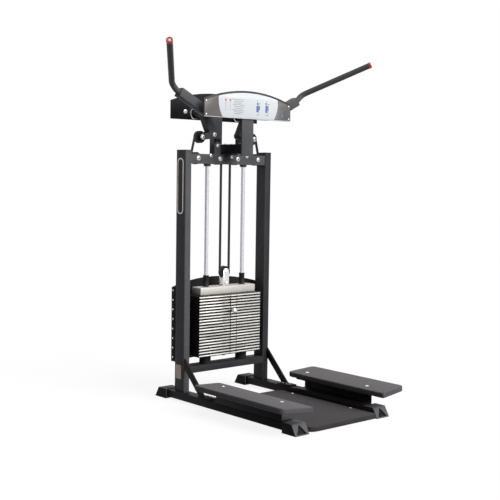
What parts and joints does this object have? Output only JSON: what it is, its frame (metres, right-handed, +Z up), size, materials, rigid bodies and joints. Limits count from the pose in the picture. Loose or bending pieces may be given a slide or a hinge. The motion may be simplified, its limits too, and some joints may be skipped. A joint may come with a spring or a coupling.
{
  "type": "standing chest fly machine",
  "caption": "Standing chest fly strength machine with a weight stack, two swinging arms, a low platform and raised step boards.",
  "frame": {"origin": "on the floor, midway between the left and right handle ends and midway between the front and rear ends", "axes": "+Z up, +X to the right as seen from the user's side, -Y towards the user and the step boards, +Y towards the weight stack"},
  "size_m": [1.4046, 1.1346, 1.8323],
  "materials": {
    "frame_paint": "charcoal satin powder coat",
    "runner_paint": "black satin powder coat",
    "bracket_paint": "black satin paint",
    "black_rubber": "matt moulded rubber",
    "chrome_rod": "polished chrome",
    "black_plastic": "matt moulded plastic",
    "step_top": "fine anti-slip grain",
    "red_cap": "glossy red plastic",
    "belt_fabric": "flat black woven belt",
    "sign_panel": "white and taupe printed sheet, print left bare",
    "plate_steel": "bare machined steel",
    "pin_steel": "steel pin with a black knob"
  },
  "bodies": {
    "frame": {"beam_front_plate": "frame_paint", "beam_rear_plate": "frame_paint", "belt_left": "belt_fabric", "belt_right": "belt_fabric", "brace_left": "runner_paint", "brace_right": "runner_paint", "bumper_left": "black_rubber", "bumper_right": "black_rubber", "foot_front_left": "black_rubber", "foot_front_right": "black_rubber", "foot_rear_left": "black_rubber", "foot_rear_right": "black_rubber", "guide_rod_left": "chrome_rod", "guide_rod_right": "chrome_rod", "head_cross_member": "frame_paint", "head_front_panel": "sign_panel", "head_post_front": "frame_paint", "head_post_rear": "frame_paint", "head_rear_panel": "runner_paint", "low_platform": "step_top", "lower_crossbar": "frame_paint", "rear_shroud": "runner_paint", "runner_left": "runner_paint", "runner_right": "runner_paint", "step_board_left": "step_top", "step_board_right": "step_top", "step_support_left": "runner_paint", "step_support_right": "runner_paint", "stop_block_left": "black_rubber", "stop_block_right": "black_rubber", "upright_left": "frame_paint", "upright_right": "frame_paint", "weight_plates_resting": "plate_steel"},
    "stack": {"weight_plate_1": "plate_steel", "weight_plate_2": "plate_steel", "weight_plate_3": "plate_steel", "weight_plate_4": "plate_steel", "weight_plate_5": "plate_steel", "weight_plate_6": "plate_steel", "top_plate": "plate_steel", "rod_sleeve_left": "black_plastic", "rod_sleeve_right": "black_plastic", "pulley_bracket": "bracket_paint", "belt_loop": "belt_fabric"},
    "left_arm": {"arm_left": "frame_paint", "handle_tube_left": "frame_paint", "handle_cap_left": "red_cap", "belt_drum_left": "black_plastic", "belt_end_left": "belt_fabric"},
    "right_arm": {"arm_right": "frame_paint", "handle_tube_right": "frame_paint", "handle_cap_right": "red_cap", "belt_drum_right": "black_plastic", "belt_end_right": "belt_fabric"},
    "outer_pulley_left": {"beam_pulley_outer_left": "black_plastic"},
    "inner_pulley_left": {"beam_pulley_inner_left": "black_plastic"},
    "inner_pulley_right": {"beam_pulley_inner_right": "black_plastic"},
    "outer_pulley_right": {"beam_pulley_outer_right": "black_plastic"},
    "stack_pulley": {"moving_pulley": "black_plastic"},
    "selector": {"selector_pin": "pin_steel"}
  },
  "joints": [
    {"name": "stack_lift", "type": "slide", "parent": "frame", "child": "stack", "axis": [0, 0, 1], "range_m": [0, 0.08], "deforming": ["belt_left", "belt_right"]},
    {"name": "left_arm_swing", "type": "hinge", "parent": "frame", "child": "left_arm", "pos_m": [-0.15, 0.38628, 1.525], "axis": [0, -1, 0], "range_deg": [0, 70], "deforming": ["belt_end_left"]},
    {"name": "right_arm_swing", "type": "hinge", "parent": "frame", "child": "right_arm", "pos_m": [0.15, 0.38628, 1.525], "axis": [0, 1, 0], "range_deg": [0, 70], "deforming": ["belt_end_right"]},
    {"name": "outer_pulley_left_turn", "type": "hinge", "parent": "frame", "child": "outer_pulley_left", "pos_m": [-0.2084, 0.38628, 1.286], "axis": [0, 1, 0], "range_deg": [0, 148]},
    {"name": "inner_pulley_left_turn", "type": "hinge", "parent": "frame", "child": "inner_pulley_left", "pos_m": [-0.062, 0.38628, 1.286], "axis": [0, -1, 0], "range_deg": [0, 148]},
    {"name": "outer_pulley_right_turn", "type": "hinge", "parent": "frame", "child": "outer_pulley_right", "pos_m": [0.2084, 0.38628, 1.286], "axis": [0, -1, 0], "range_deg": [0, 148]},
    {"name": "inner_pulley_right_turn", "type": "hinge", "parent": "frame", "child": "inner_pulley_right", "pos_m": [0.062, 0.38628, 1.286], "axis": [0, 1, 0], "range_deg": [0, 148]},
    {"name": "stack_pulley_turn", "type": "hinge", "parent": "stack", "child": "stack_pulley", "pos_m": [0, 0.38628, 0.673], "axis": [0, 1, 0], "continuous": true},
    {"name": "selector_pull", "type": "slide", "parent": "stack", "child": "selector", "axis": [0, -1, 0], "range_m": [0, 0.07]}
  ],
  "couplings": [
    {"joint": "left_arm_swing", "follows": "stack_lift", "rad_per_m": 15.27},
    {"joint": "right_arm_swing", "follows": "stack_lift", "rad_per_m": 15.27},
    {"joint": "outer_pulley_left_turn", "follows": "stack_lift", "rad_per_m": 32.258},
    {"joint": "inner_pulley_left_turn", "follows": "stack_lift", "rad_per_m": 32.258},
    {"joint": "outer_pulley_right_turn", "follows": "stack_lift", "rad_per_m": 32.258},
    {"joint": "inner_pulley_right_turn", "follows": "stack_lift", "rad_per_m": 32.258}
  ]
}
